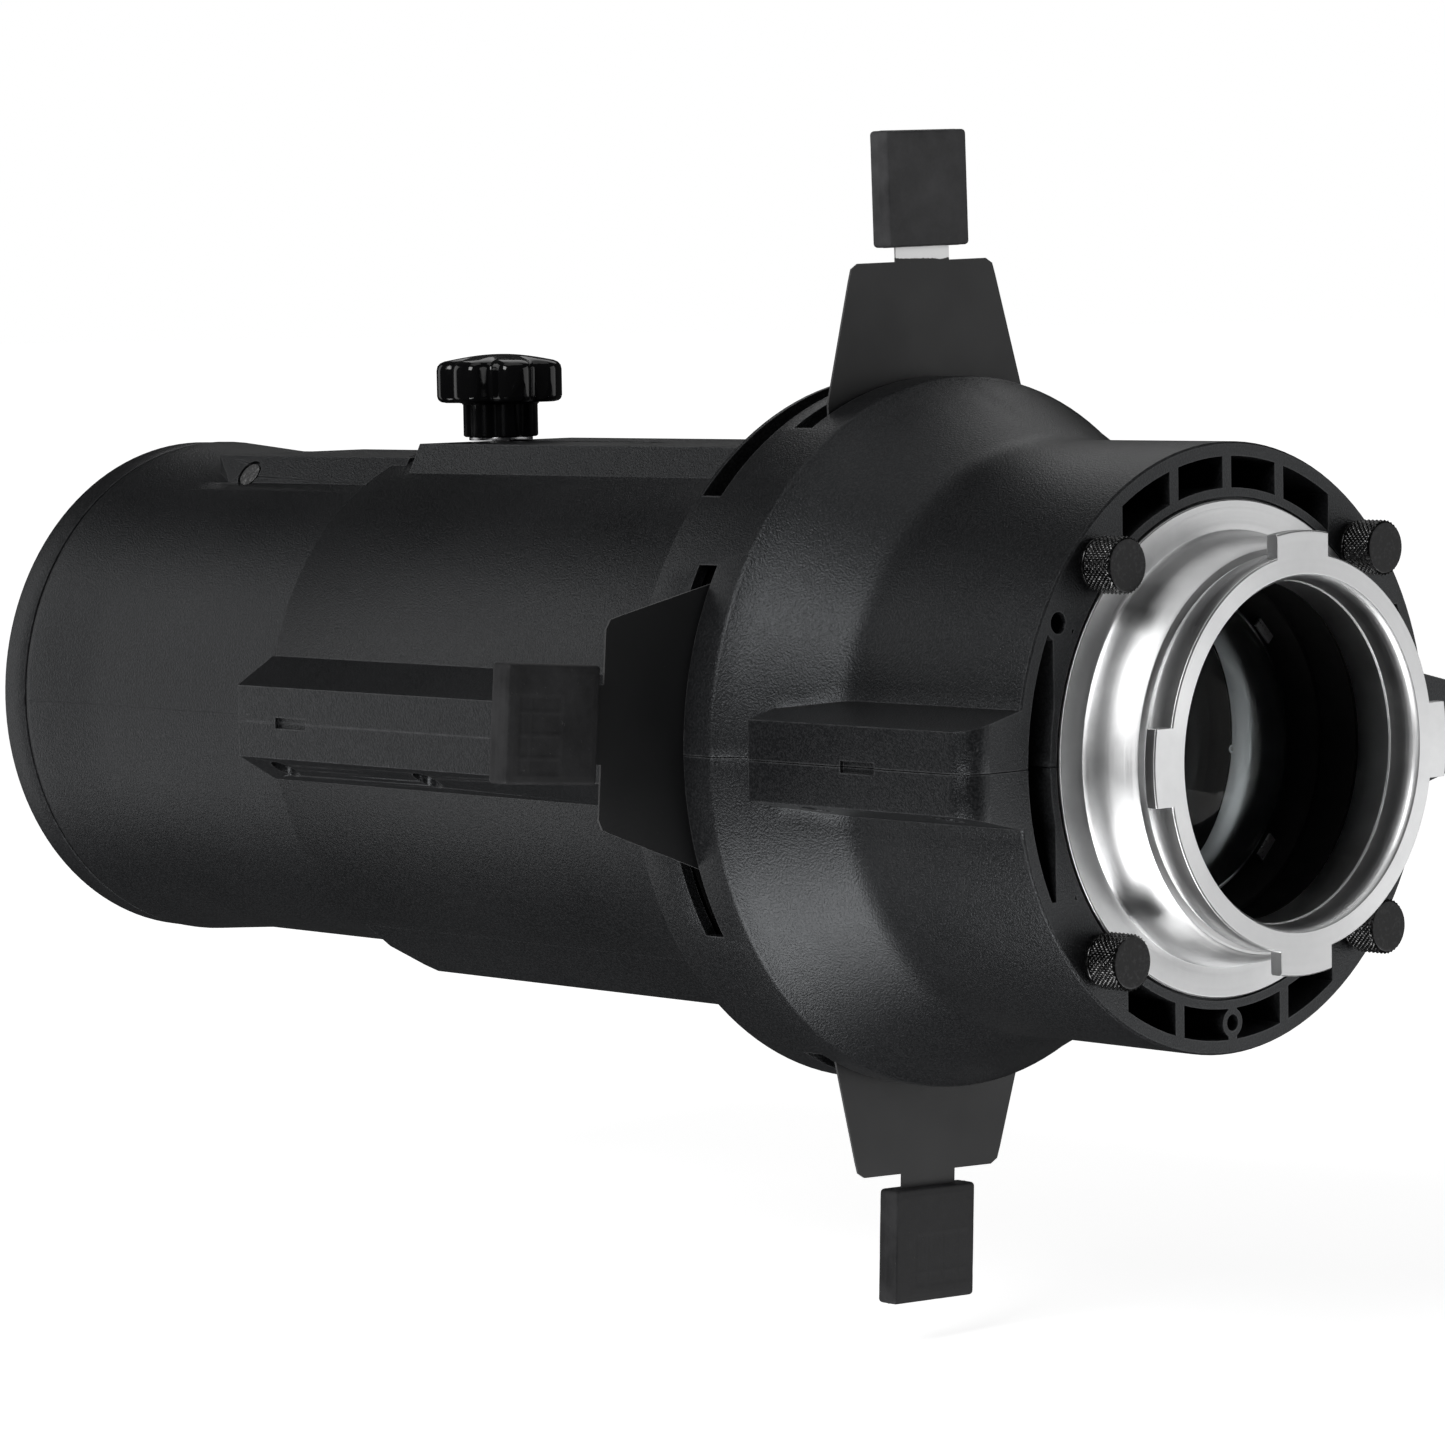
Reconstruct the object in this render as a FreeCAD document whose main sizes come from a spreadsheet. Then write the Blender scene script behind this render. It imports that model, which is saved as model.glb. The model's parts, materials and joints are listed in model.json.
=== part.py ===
import FreeCAD, Part
import math
import os

import Sketcher
from FreeCAD import Placement, Rotation, Vector

# Ellipsoidal projection head held by a bayonet ring. Lengths in millimetres.
# The light's axis is Y: -Y is the way the light leaves, +Y is the bayonet end. Z is up.
# Pieces are drawn with y = 0 at the back of the bayonet ring's flange, then moved along the axis
# by ORIGIN_SHIFT, so that the origin is the middle of the ring's bore.

doc = FreeCAD.newDocument("Spotlight")
dims = doc.addObject("Spreadsheet::Sheet", "dims")

VALUES = {
    # rear housing
    "rear_r": 88.6, "rear_face_y": -0.8, "drum_r": 107.5, "drum_back_y": -103.9, "cone_back_y": -75.2,
    "drum_front_y": -141.2, "collar_r": 72.8, "collar_wall": 2.5, "rear_bore_r": 84.4, "throat_r": 52.4,
    "pocket_floor_y": -24.0, "rib_pitch": 22.7, "rib_width": 3.7, "rib_hole_z": 79.5, "rib_hub_r": 4.2,
    "hub_hole_x": 71.4, "hub_hole_z": 40.2, "hub_outer_r": 5.2, "hub_hole_r": 3.1,
    "ear_x": 107.8, "ear_half": 11.8, "ear_root_x": 86.0, "ear_root_half": 16.9, "ear_corner_r": 8.0,
    "ear_screw_x": 100.0, "counterbore_r": 4.6, "screw_way_r": 2.1,
    # tube
    "sleeve_r": 86.0, "sleeve_front_y": -335.0, "barrel_r": 82.2, "tube_bore_r": 79.3, "sleeve_bore_r": 82.6,
    "hood_r": 85.2, "front_y": -481.3, "groove_y": -468.4,
    "rail_top": 86.6, "rail_half": 33.0, "rail_root": 38.6,
    "pad_top": 81.9, "pad_half": 31.5, "pad_root": 40.0, "pad_screw_x": 34.5, "pad_screw_y": -406.0,
    "pad_screw_z": 75.0, "pad_lean": 54.0,
    "foot_bottom": 86.8, "foot_half": 28.0, "foot_shoulder": 31.5, "foot_root": 49.7,
    "boss_x": 99.0, "boss_half": 11.4, "boss_root_x": 84.5, "boss_root_half": 19.8, "boss_screw_x": 92.0,
    "slot_width": 7.0,
    # gate and shutters
    "slot_mid_y": -120.3, "slot_gap": 7.6, "slot_half": 54.5, "pattern_mid_y": -134.0, "pattern_gap": 8.0,
    "pattern_half": 78.0, "gate_r": 102.0, "aperture_r": 30.0, "blade_thick": 0.7, "blade_half": 41.8,
    "blade_length": 106.0, "tongue_half": 11.4, "tongue_length": 24.0,
    "shoe_in_r": 93.0, "shoe_out_r": 100.5, "grip_width": 34.6, "grip_height": 35.2, "grip_thick": 8.2,
    "grip_start": 4.2, "grip_round": 1.1,
    # bayonet end
    "flange_r": 72.0, "neck_r": 57.1, "bore_r": 49.0, "ring_back_y": 27.5, "lug_r": 63.6,
    "screw_offset": 55.8, "screw_head_r": 8.2, "screw_thread_r": 2.0, "washer_r": 7.7, "washer_thick": 1.0,
    # optics
    "lens_r": 72.0, "carriage_r": 78.6, "carriage_bore_r": 72.2, "condenser_r": 46.4, "knob_y": -317.7,
    "knob_r": 21.0, "hub_r": 12.5, "stud_r": 3.0,
    # joints between moulded halves and running parts
    "housing_gap": 0.12, "tube_gap": 0.03, "running": 0.05,
}
for row, (alias, value) in enumerate(VALUES.items(), start=1):
    dims.set("A%d" % row, alias)
    dims.set("B%d" % row, str(value))
    dims.setAlias("B%d" % row, alias)
doc.recompute()

D = VALUES
FAR = 300.0
EAR_SCREWS_Y = (-69.0, -17.0)
BOSS_SCREWS_Y = (-320.0, -250.0)
AXES = {
    "x": Rotation(Vector(0, 1, 0), 90),
    "y": Rotation(Vector(1, 0, 0), -90),
    "z": Rotation(),
}
nodes = {}
ORIGIN_SHIFT = -11.8


def bind(obj, prop, value):
    """Set a size from a number, or bind it to an expression on the sheet."""
    if isinstance(value, str):
        obj.setExpression(prop, value)
    else:
        setattr(obj, prop, value)


def cylinder(name, radius, length, base, axis="y"):
    obj = doc.addObject("Part::Cylinder", name)
    bind(obj, "Radius", radius)
    bind(obj, "Height", length)
    obj.Placement = Placement(Vector(*base), AXES[axis])
    return obj


def box(name, low, high):
    obj = doc.addObject("Part::Box", name)
    obj.Length = high[0] - low[0]
    obj.Width = high[1] - low[1]
    obj.Height = high[2] - low[2]
    obj.Placement.Base = Vector(*low)
    return obj


def cut(name, base, tools):
    obj = doc.addObject("Part::Cut", name)
    obj.Base = base
    obj.Tool = tools[0] if len(tools) == 1 else fuse(name + "_tools", tools)
    return obj


def fuse(name, parts):
    obj = doc.addObject("Part::MultiFuse", name)
    obj.Shapes = parts
    return obj


def common(name, first, second):
    obj = doc.addObject("Part::Common", name)
    obj.Base = first
    obj.Tool = second
    obj.Refine = False
    return obj


def compound(name, parts):
    obj = doc.addObject("Part::Compound", name)
    obj.Links = parts
    return obj


def moved(name, source, placement):
    """A linked copy of a shape at another placement."""
    holder = doc.addObject("Part::Compound", name)
    holder.Links = [source]
    holder.Placement = placement
    return holder


def origin_plane(body, role):
    for item in body.Origin.OriginFeatures:
        if item.Role == role:
            return item
    raise ValueError(role)


def outline(body, name, points, plane):
    """A closed polygon; each corner's two coordinates are numbers or sheet expressions."""
    sketch = body.newObject("Sketcher::SketchObject", name)
    sketch.AttachmentSupport = [(origin_plane(body, plane), "")]
    sketch.MapMode = "FlatFace"
    numbers = []
    for point in points:
        numbers.append([value_of(c) if isinstance(c, str) else c for c in point])
    count = len(numbers)
    for index in range(count):
        first = Vector(numbers[index][0], numbers[index][1], 0)
        second = Vector(numbers[(index + 1) % count][0], numbers[(index + 1) % count][1], 0)
        sketch.addGeometry(Part.LineSegment(first, second), False)
    for index in range(count):
        sketch.addConstraint(Sketcher.Constraint("Coincident", index, 2, (index + 1) % count, 1))
    for index in range(count):
        for k, kind in ((0, "DistanceX"), (1, "DistanceY")):
            which = sketch.addConstraint(Sketcher.Constraint(kind, -1, 1, index, 1, numbers[index][k]))
            if isinstance(points[index][k], str):
                sketch.setExpression("Constraints[%d]" % which, points[index][k])
    return sketch


def value_of(text):
    """The number a sheet expression of sums and differences stands for."""
    total = 0.0
    for term in text.replace("-", "+-").split("+"):
        term = term.strip()
        if not term:
            continue
        sign = -1.0 if term.startswith("-") else 1.0
        term = term.lstrip("-").strip()
        total += sign * (D[term[5:]] if term.startswith("dims.") else float(term))
    return total


def turned(name, profile):
    """A solid turned about Y from corners (y, radius)."""
    body = doc.addObject("PartDesign::Body", name)
    sketch = outline(body, name + "_profile", [list(p) for p in profile], "YZ_Plane")
    turn = body.newObject("PartDesign::Revolution", name + "_turn")
    turn.Profile = sketch
    turn.ReferenceAxis = (sketch, ["H_Axis"])
    turn.Angle = 360.0
    sketch.Visibility = False
    body.Tip = turn
    return body


def square_ring(y_range, inner_r, outer_r):
    """The four corners (y, radius) of a plain ring's section."""
    first, last = y_range
    return [(first, inner_r), (first, outer_r), (last, outer_r), (last, inner_r)]


def plate(name, points, thickness, middle_y=0.0):
    """A flat plate in the XZ plane from corners (x, z), centred on middle_y."""
    body = doc.addObject("PartDesign::Body", name)
    sketch = outline(body, name + "_outline", [list(p) for p in points], "XZ_Plane")
    pad = body.newObject("PartDesign::Pad", name + "_pad")
    pad.Profile = sketch
    bind(pad, "Length", thickness)
    if hasattr(pad, "SideType"):
        pad.SideType = "Symmetric"
    else:
        pad.Midplane = True
    body.Tip = pad
    body.Placement.Base = Vector(0, middle_y, 0)
    return body


def negative(coordinate):
    return "-" + coordinate if isinstance(coordinate, str) else -coordinate


def both_sides(corners):
    """A closed outline, alike on both sides of x = 0, from the corners of its +x side."""
    return list(corners) + [(negative(x), z) for x, z in reversed(corners)]


def wedge(name, y_range, x_start, x_end, z_start, z_end):
    """A block along Y whose X and Z ranges change evenly from one end to the other."""
    obj = doc.addObject("Part::Wedge", name)
    obj.Ymin, obj.Ymax = 0.0, y_range[1] - y_range[0]
    obj.Xmin, obj.Xmax = x_start
    obj.X2min, obj.X2max = x_end
    obj.Zmin, obj.Zmax = z_start
    obj.Z2min, obj.Z2max = z_end
    obj.Placement.Base = Vector(0, y_range[0], 0)
    return obj


def around_y(degrees, offset=(0.0, 0.0, 0.0), y=0.0):
    """Turn about the light's axis after shifting by offset."""
    turn = Placement(Vector(0, y, 0), Rotation(Vector(0, 1, 0), degrees))
    return turn.multiply(Placement(Vector(*offset), Rotation()))


def keep(node, obj):
    obj.Label = node
    obj.Placement = Placement(Vector(0, ORIGIN_SHIFT, 0), Rotation()).multiply(obj.Placement)
    nodes[node] = obj


# ---------------------------------------------------------------- rear housing
outer = turned("housing_skin", [
    ("dims.drum_front_y", 80.0), ("dims.drum_front_y", 105.7), (-139.4, "dims.drum_r"),
    (-106.2, "dims.drum_r"), (-105.3, 107.3), (-104.6, 106.9), ("dims.drum_back_y", 106.2),
    ("dims.cone_back_y", 91.8), (-73.0, 90.7), (-71.0, 89.8), (-68.5, 89.1), (-65.0, 88.7),
    (-60.0, "dims.rear_r"), (-1.4, "dims.rear_r"), ("dims.rear_face_y", 88.0), ("dims.rear_face_y", 20.0),
    (-60.0, 20.0), (-60.0, 80.0),
])
ear_block = plate("ear_block", both_sides([
    ("dims.ear_root_x", "-dims.ear_root_half"), ("dims.ear_x", "-dims.ear_half"),
    ("dims.ear_x", "dims.ear_half"), ("dims.ear_root_x", "dims.ear_root_half"),
]), 88.2, -44.9)
ear_corners = []
for side in (1, -1):
    tag = "near" if side > 0 else "far"
    corner_x = D["ear_x"] - D["ear_corner_r"]
    corner_y = D["rear_face_y"] - D["ear_corner_r"]
    low_x, high_x = sorted((side * corner_x, side * 112.0))
    corner = box("ear_corner_" + tag, (low_x, corner_y, -25.0), (high_x, 4.0, 25.0))
    spot = (side * corner_x, corner_y, -30.0)
    post = cylinder("ear_corner_post_" + tag, "dims.ear_corner_r", 60.0, spot, "z")
    ear_corners.append(cut("ear_corner_tool_" + tag, corner, [post]))
skin = fuse("housing_blank", [outer, cut("ears", ear_block, ear_corners)])

hollow = turned("housing_hollow", [
    (-137.8, 0.0), (-137.8, 104.0), (-107.0, 104.0), (-76.4, 88.2), (-71.0, 85.7), (-65.0, 84.6),
    (-60.0, "dims.rear_bore_r"), (-27.0, "dims.rear_bore_r"), (-27.0, "dims.throat_r"),
    (20.0, "dims.throat_r"), (20.0, 0.0),
])
front_hole = cylinder("tube_opening", "dims.sleeve_r + 0.1", 30.0, (0, -160.0, 0))
# the flange sits in a shallow seat inside a thin collar
seat = turned("flange_seat", [(-2.8, 0.0), (-2.8, "dims.collar_r"), (5.0, "dims.collar_r"), (5.0, 0.0)])
throat = turned("flange_throat", [(-20.0, 0.0), (-20.0, 64.0), (-2.0, 64.0), (-2.0, 0.0)])
# pockets between the outer wall and the collar, broken by upright ribs
pocket_ring = turned("pocket_ring", [
    ("dims.pocket_floor_y", "dims.collar_r + dims.collar_wall"), ("dims.pocket_floor_y", "dims.rear_bore_r"),
    (5.0, "dims.rear_bore_r"), (5.0, "dims.collar_r + dims.collar_wall"),
])
ribs = []
for index in (-1, 0, 1):
    middle = index * D["rib_pitch"]
    half = D["rib_width"] / 2
    ribs.append(box("rib_%d" % (index + 1), (middle - half, -30.0, -FAR / 2), (middle + half, 6.0, FAR / 2)))
for side in (-1, 1):
    # solid shoulders round the thumb screws leave a gap for the top, bottom and side pockets
    low_x, high_x = sorted((side * 44.5, side * 76.0))
    for end in (-1, 1):
        low_z, high_z = sorted((end * 38.0, end * 90.0))
        ribs.append(box("shoulder_%d_%d" % (side + 1, end + 1), (low_x, -30.0, low_z), (high_x, 6.0, high_z)))
    low_x, high_x = sorted((side * 66.0, side * 73.6))
    ribs.append(box("chord_%d" % (side + 1), (low_x, -30.0, -44.0), (high_x, 6.0, 44.0)))
    # a hub on each side, high on the near side and low on the far one
    spot = (side * D["hub_hole_x"], -30.0, side * D["hub_hole_z"])
    ribs.append(cylinder("ear_hub_%d" % (side + 1), "dims.hub_outer_r", 36.0, spot))
ribs.append(cylinder("rib_hub", "dims.rib_hub_r", 36.0, (0.0, -30.0, -D["rib_hole_z"])))
pockets = cut("pockets", pocket_ring, ribs)
bores = [cylinder("rib_hole", 2.4, 20.0, (0.0, -14.0, -D["rib_hole_z"]))]
for side in (-1, 1):
    spot = (side * D["hub_hole_x"], -14.0, side * D["hub_hole_z"])
    bores.append(cylinder("hub_hole_%d" % (side + 1), "dims.hub_hole_r", 20.0, spot))
    for end in (-1, 1):
        spot = (side * D["screw_offset"], -18.0, end * D["screw_offset"])
        tag = "%d_%d" % (side + 1, end + 1)
        bores.append(cylinder("screw_hole_" + tag, "dims.screw_thread_r + dims.running", 30.0, spot))

slots = []
gap = D["slot_gap"] / 2
mid = D["slot_mid_y"]
half = D["slot_half"]
slots.append(box("side_slots", (-130.0, mid - gap, -half), (130.0, mid + gap, half)))
slots.append(box("end_slots", (-half + 1.2, mid - gap, -130.0), (half - 1.2, mid + gap, 130.0)))
gap = D["pattern_gap"] / 2
slots.append(box("pattern_slot", (-D["pattern_half"], D["pattern_mid_y"] - gap, 60.0),
                 (D["pattern_half"], D["pattern_mid_y"] + gap, 130.0)))
ear_bores = []
for side in (-1, 1):
    for k, y in enumerate(EAR_SCREWS_Y):
        x = side * D["ear_screw_x"]
        tag = "%d_%d" % (side + 1, k)
        ear_bores.append(cylinder("ear_sink_" + tag, "dims.counterbore_r", 25.0, (x, y, -30.0), "z"))
        ear_bores.append(cylinder("ear_hole_" + tag, "dims.screw_way_r", 14.0, (x, y, -5.5), "z"))
notches = []
for side in (-1, 1):
    low_x = 106.6 if side > 0 else -110.0
    notches.append(box("pry_notch_%d" % (side + 1), (low_x, -51.5, -1.7), (low_x + 3.4, -38.0, 1.7)))

housing = cut("housing_whole", skin,
              [hollow, front_hole, seat, throat, pockets] + bores + slots + ear_bores + notches)


def halves(name, whole, reach_y, gap_z):
    """Split a whole shell at the level plane, leaving a fine parting gap."""
    top = box(name + "_above", (-FAR, reach_y[0], gap_z), (FAR, reach_y[1], FAR))
    low = box(name + "_below", (-FAR, reach_y[0], -FAR), (FAR, reach_y[1], -gap_z))
    return common(name + "_top", whole, top), common(name + "_low", whole, low)


upper, lower = halves("housing", housing, (-200.0, 40.0), D["housing_gap"])
keep("rear_housing_upper", upper)
keep("rear_housing_lower", lower)


def screw(name, place, head_r, head_h, shank_r, shank_h):
    """A cap screw pointing up, its head's underside at place."""
    x, y, z = place
    head = cylinder(name + "_head", head_r, head_h, (x, y, z - head_h), "z")
    shank = cylinder(name + "_shank", shank_r, shank_h, (x, y, z - 0.2), "z")
    socket = doc.addObject("Part::Prism", name + "_socket")
    socket.Polygon = 6
    socket.Circumradius = head_r * 0.5
    socket.Height = 1.6
    socket.Placement.Base = Vector(x, y, z - head_h - 0.4)
    whole = fuse(name + "_whole", [head, shank])
    return cut(name, whole, [socket])


ear_screws = []
for side in (-1, 1):
    for k, y in enumerate(EAR_SCREWS_Y):
        ear_screws.append(screw("ear_screw_%d_%d" % (side + 1, k),
                                (side * D["ear_screw_x"], y, -5.6), 3.9, 2.8, 2.0, 13.0))
keep("ear_screws", compound("ear_screw_set", ear_screws))

# ------------------------------------------------------------------------ tube
tube_skin = turned("tube_skin", [
    (-476.3, 78.0), (-476.3, 83.6), ("dims.groove_y", 83.6), ("dims.groove_y", 84.9),
    ("dims.groove_y + 0.5", "dims.hood_r"), (-466.0, "dims.hood_r"),
    (-430.5, "dims.barrel_r"),
    ("dims.sleeve_front_y", "dims.barrel_r"), ("dims.sleeve_front_y", 85.4), (-334.0, "dims.sleeve_r"),
    (-138.2, "dims.sleeve_r"), (-138.2, 78.0),
])
# the rail, the pad and the foot have sides that lean inwards; the foot's front end slopes
def leaning(name, radius, length, side, lift):
    """A cylinder standing on the floor of a pad's screw recess, square to the pad's leaning side."""
    lean = Rotation(Vector(0, 1, 0), side * D["pad_lean"])
    obj = cylinder(name, radius, length, (0, 0, 0), "z")
    foot_point = Vector(side * D["pad_screw_x"], D["pad_screw_y"], D["pad_screw_z"])
    obj.Placement = Placement(foot_point + lean.multVec(Vector(0, 0, lift)), lean)
    return obj


rail = plate("rail_block", both_sides([
    ("dims.rail_root", 60.0), ("dims.rail_root", 75.9), ("dims.rail_half", "dims.rail_top"),
]), 178.6, -230.7)
across = (-60.0, 60.0)
foot_block = plate("foot_block", both_sides([
    ("dims.foot_root", -60.0), ("dims.foot_root", -70.2), ("dims.foot_shoulder", -84.6),
    ("dims.foot_half", "-dims.foot_bottom"),
]), 191.5, -237.2)
foot = cut("foot", foot_block, [wedge("foot_slope", (-333.2, -322.5), across, across,
                                      (-100.0, -78.0), (-100.0, -D["foot_bottom"]))])
pad_block = plate("front_pad", both_sides([
    ("dims.pad_root", 55.0), ("dims.pad_root", 69.7), ("dims.pad_half", "dims.pad_top"),
]), 100.0, -377.0)
pad_corners = []
for side in (-1, 1):
    front = tuple(sorted((side * D["pad_half"], side * 60.0)))
    back = tuple(sorted((side * D["pad_root"], side * 60.0)))
    height = (50.0, 100.0)
    pad_corners.append(wedge("pad_corner_%d" % (side + 1), (-427.0, -410.0), front, back, height, height))
pad = cut("pad", pad_block, pad_corners)
boss = plate("boss_block", both_sides([
    ("dims.boss_root_x", "-dims.boss_root_half"), ("dims.boss_x", "-dims.boss_half"),
    ("dims.boss_x", "dims.boss_half"), ("dims.boss_root_x", "dims.boss_root_half"),
]), 192.6, -238.4)
tube_blank = fuse("tube_blank", [tube_skin, rail, foot, boss, pad])
tube_bore = turned("tube_bore", [
    (-500.0, 0.0), (-500.0, "dims.tube_bore_r + 3.2"), (-470.0, "dims.tube_bore_r + 3.2"),
    (-458.0, "dims.tube_bore_r"), (-331.0, "dims.tube_bore_r"), (-331.0, "dims.sleeve_bore_r"),
    (-100.0, "dims.sleeve_bore_r"), (-100.0, 0.0),
])
guides = []
for k, degrees in enumerate((45, 135, 225, 315)):
    guide = box("guide_%d" % k, (-4.0, -331.5, D["tube_bore_r"]), (4.0, -205.0, 84.0))
    guides.append(moved("guide_turned_%d" % k, guide, around_y(degrees)))
bore_cut = cut("tube_bore_with_guides", tube_bore, guides)
slot_low_y = D["knob_y"] - 14.0
focus_slot = box("focus_slot", (-D["slot_width"] / 2, slot_low_y, 70.0), (D["slot_width"] / 2, -238.0, 95.0))
tube_cuts = [bore_cut, focus_slot]
for side in (-1, 1):
    for k, y in enumerate(BOSS_SCREWS_Y):
        tag = "%d_%d" % (side + 1, k)
        x = side * D["boss_screw_x"]
        tube_cuts.append(cylinder("boss_sink_" + tag, "dims.counterbore_r", 25.0, (x, y, -30.0), "z"))
        tube_cuts.append(cylinder("boss_hole_" + tag, "dims.screw_way_r", 14.0, (x, y, -5.5), "z"))
    low_x = 97.8 if side > 0 else -101.2
    tube_cuts.append(box("boss_notch_%d" % (side + 1), (low_x, -316.0, -1.7), (low_x + 3.4, -301.0, 1.7)))
    tube_cuts.append(leaning("pad_recess_%d" % (side + 1), 5.2, 20.0, side, 0.0))
tube = cut("tube_whole", tube_blank, tube_cuts)
tube_top, tube_low = halves("tube", tube, (-520.0, -90.0), D["tube_gap"])
keep("tube_upper", tube_top)
keep("tube_lower", tube_low)

boss_screws = []
for side in (-1, 1):
    for k, y in enumerate(BOSS_SCREWS_Y):
        spot = (side * D["boss_screw_x"], y, -5.6)
        boss_screws.append(screw("boss_screw_%d_%d" % (side + 1, k), spot, 3.9, 2.8, 2.0, 13.0))
keep("tube_screws", compound("boss_screw_set", boss_screws))
pad_screws = []
for side in (-1, 1):
    pad_screws.append(leaning("pad_screw_%d" % (side + 1), 4.2, 1.2, side, 0.05))
keep("front_screws", compound("pad_screw_set", pad_screws))

keep("front_rim", turned("rim_ring", [
    (-480.7, 79.4), ("dims.front_y", 80.0), ("dims.front_y", 84.3), (-480.7, 84.9),
    ("dims.groove_y - 1.1", 85.0), ("dims.groove_y - 1.1", 83.7), (-476.4, 83.7), (-476.4, 82.3),
    (-474.0, 82.3), (-474.0, 79.4),
]))

# ------------------------------------------------------------------------ gate
keep("gate_plate_front", turned("gate_front", [
    (-126.0, "dims.aperture_r"), (-126.0, "dims.gate_r"), (-124.7, "dims.gate_r"),
    (-124.7, "dims.aperture_r"),
]))
keep("gate_plate_rear", turned("gate_rear", [
    (-115.7, "dims.aperture_r + 4"), (-115.7, "dims.gate_r"), (-114.4, "dims.gate_r"),
    (-114.4, "dims.aperture_r + 4"),
]))
posts = []
for k, degrees in enumerate((45, 135, 225, 315)):
    angle = math.radians(degrees)
    posts.append(cylinder("post_%d" % k, 4.0, 9.0, (80 * math.cos(angle), -124.7, 80 * math.sin(angle))))
keep("gate_posts", compound("post_set", posts))
guide_ring = turned("pattern_ring", [
    (-138.6, 60.0), (-138.6, 72.0), (-129.4, 72.0), (-129.4, 60.0), (-130.6, 60.0), (-130.6, 68.0),
    (-137.4, 68.0), (-137.4, 60.0),
])
guide_half = box("pattern_half", (-90.0, -145.0, -90.0), (90.0, -120.0, 8.0))
guide_legs = []
for k, degrees in enumerate((215, 325)):
    angle = math.radians(degrees)
    spot = (70 * math.cos(angle), -129.4, 70 * math.sin(angle))
    guide_legs.append(cylinder("pattern_leg_%d" % k, 4.0, 3.4, spot))
keep("gobo_guide", fuse("pattern_guide", [common("pattern_channel", guide_ring, guide_half)] + guide_legs))

# -------------------------------------------------------------------- shutters
# name: turn about the axis from straight up, distance of the blade's outer edge, plane
BLADES = {
    "top": (1.4, 142.3, -118.9),
    "near": (85.5, 138.4, -117.8),
    "bottom": (177.6, 134.7, -120.0),
    "far": (270.0, 140.0, -121.1),
}
for name, (degrees, edge, plane_y) in BLADES.items():
    blade = plate("blade_" + name, both_sides([
        ("dims.blade_half", "-dims.blade_length"), ("dims.blade_half", -41.0), (31.4, -5.2), (30.2, -1.6),
        (27.4, 0.0), ("dims.tongue_half", 0.0), ("dims.tongue_half", "dims.tongue_length"),
    ]), "dims.blade_thick")
    place = around_y(degrees, (0.0, 0.0, edge), plane_y)
    blade.Placement = place
    keep("shutter_blade_" + name, blade)

    low = D["grip_start"]
    block = doc.addObject("Part::Box", "grip_block_" + name)
    block.setExpression("Length", "dims.grip_width")
    block.setExpression("Width", "dims.grip_thick")
    block.setExpression("Height", "dims.grip_height")
    block.Placement.Base = Vector(-D["grip_width"] / 2, -D["grip_thick"] / 2, low)
    rounded = doc.addObject("Part::Fillet", "grip_round_" + name)
    rounded.Base = block
    rounded.Edges = [(edge_number, D["grip_round"], D["grip_round"]) for edge_number in range(1, 13)]
    slot = box("grip_slot_" + name, (-11.5, -0.4, low - 1.0), (11.5, 0.4, D["tongue_length"] + 0.2))
    grip = cut("grip_" + name, rounded, [slot])
    grip.Placement = place
    keep("shutter_grip_" + name, grip)

    sector = turned("shoe_ring_" + name, [
        (-4.0, "dims.shoe_in_r"), (-4.0, "dims.shoe_out_r"), (4.0, "dims.shoe_out_r"),
        (4.0, "dims.shoe_in_r"),
    ])
    window = box("shoe_window_" + name, (-48.0, -20.0, 10.0), (48.0, 20.0, 120.0))
    arc = common("shoe_arc_" + name, sector, window)
    level = plane_y - D["slot_mid_y"]
    half = D["blade_half"] + 0.1
    way = box("shoe_way_" + name, (-half, level - 0.45, 60.0), (half, level + 0.45, 120.0))
    lighten_a = box("shoe_cut_" + name, (-43.0, level + 1.2, 60.0), (43.0, 20.0, 120.0))
    lighten_b = box("shoe_slit_" + name, (-43.0, -20.0, 60.0), (43.0, level - 1.2, 120.0))
    shoe = cut("shoe_" + name, arc, [way, lighten_a, lighten_b])
    shoe.Placement = around_y(degrees, (0.0, 0.0, 0.0), D["slot_mid_y"])
    keep("blade_shoe_" + name, shoe)

# ----------------------------------------------------------------- bayonet end
ring = turned("bayonet_turning", [
    (-2.4, 53.0), (-2.4, 71.6), (-2.0, "dims.flange_r"), (-0.4, "dims.flange_r"), (0.0, 71.6), (0.0, 63.2),
    (1.4, 62.7), (6.0, 62.0), (9.5, 61.2), (13.0, 59.8), (16.4, 58.2), (17.2, 56.2), (19.0, 56.2),
    (19.0, 56.9), (19.4, "dims.neck_r"), (27.1, "dims.neck_r"), ("dims.ring_back_y", 56.7),
    ("dims.ring_back_y", 51.2), (25.6, 50.0), (18.0, 49.4), (17.6, "dims.bore_r"), (6.0, "dims.bore_r"),
    (4.4, 53.0),
])
lug_ring = turned("lug_ring", [
    (23.6, 56.0), (23.6, 63.2), (24.0, "dims.lug_r"), (27.1, "dims.lug_r"), ("dims.ring_back_y", 63.2),
    ("dims.ring_back_y", 56.0),
])
lug_cross = fuse("lug_cross", [
    box("lug_upright", (-11.0, 20.0, -80.0), (11.0, 30.0, 80.0)),
    box("lug_level", (-80.0, 20.0, -11.0), (80.0, 30.0, 11.0)),
])
keep("bayonet_ring", fuse("bayonet", [ring, common("lugs", lug_ring, lug_cross)]))

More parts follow.
